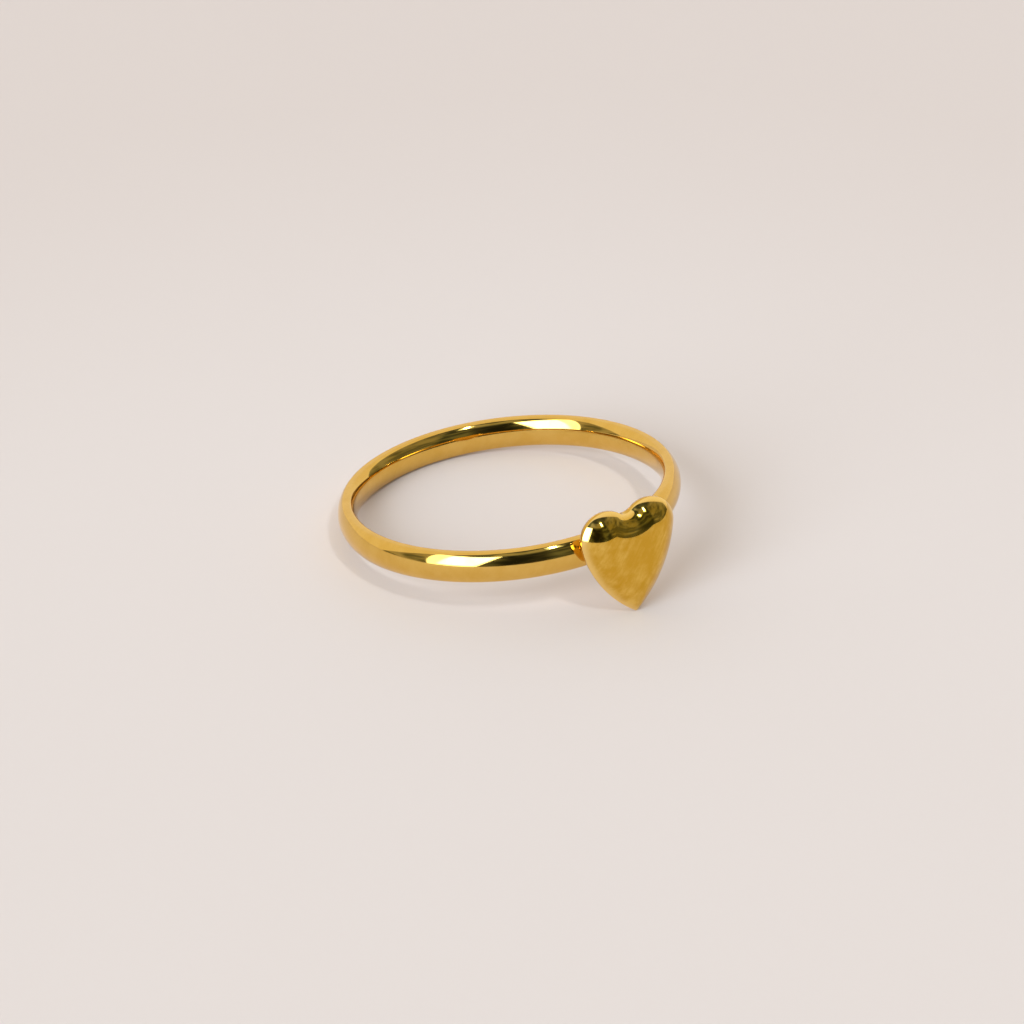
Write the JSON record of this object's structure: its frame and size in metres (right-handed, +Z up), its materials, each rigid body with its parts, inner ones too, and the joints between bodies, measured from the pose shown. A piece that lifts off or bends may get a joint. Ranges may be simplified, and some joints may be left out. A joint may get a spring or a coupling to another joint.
{
  "type": "heart ring",
  "caption": "Slim polished finger ring with a rounded comfort-fit band and a puffed heart on its front.",
  "frame": {"origin": "on the ground, under the middle of the ring's outline, as the ring lies at rest", "axes": "+Z up, -Y towards the side where the heart faces; the finger's axis leans 8.8 degrees from +Z towards +Y"},
  "size_m": [0.0196, 0.0214, 0.0064],
  "materials": {
    "gold": "mirror polished yellow gold"
  },
  "bodies": {
    "root": {"heart_ring": "gold"}
  },
  "joints": []
}
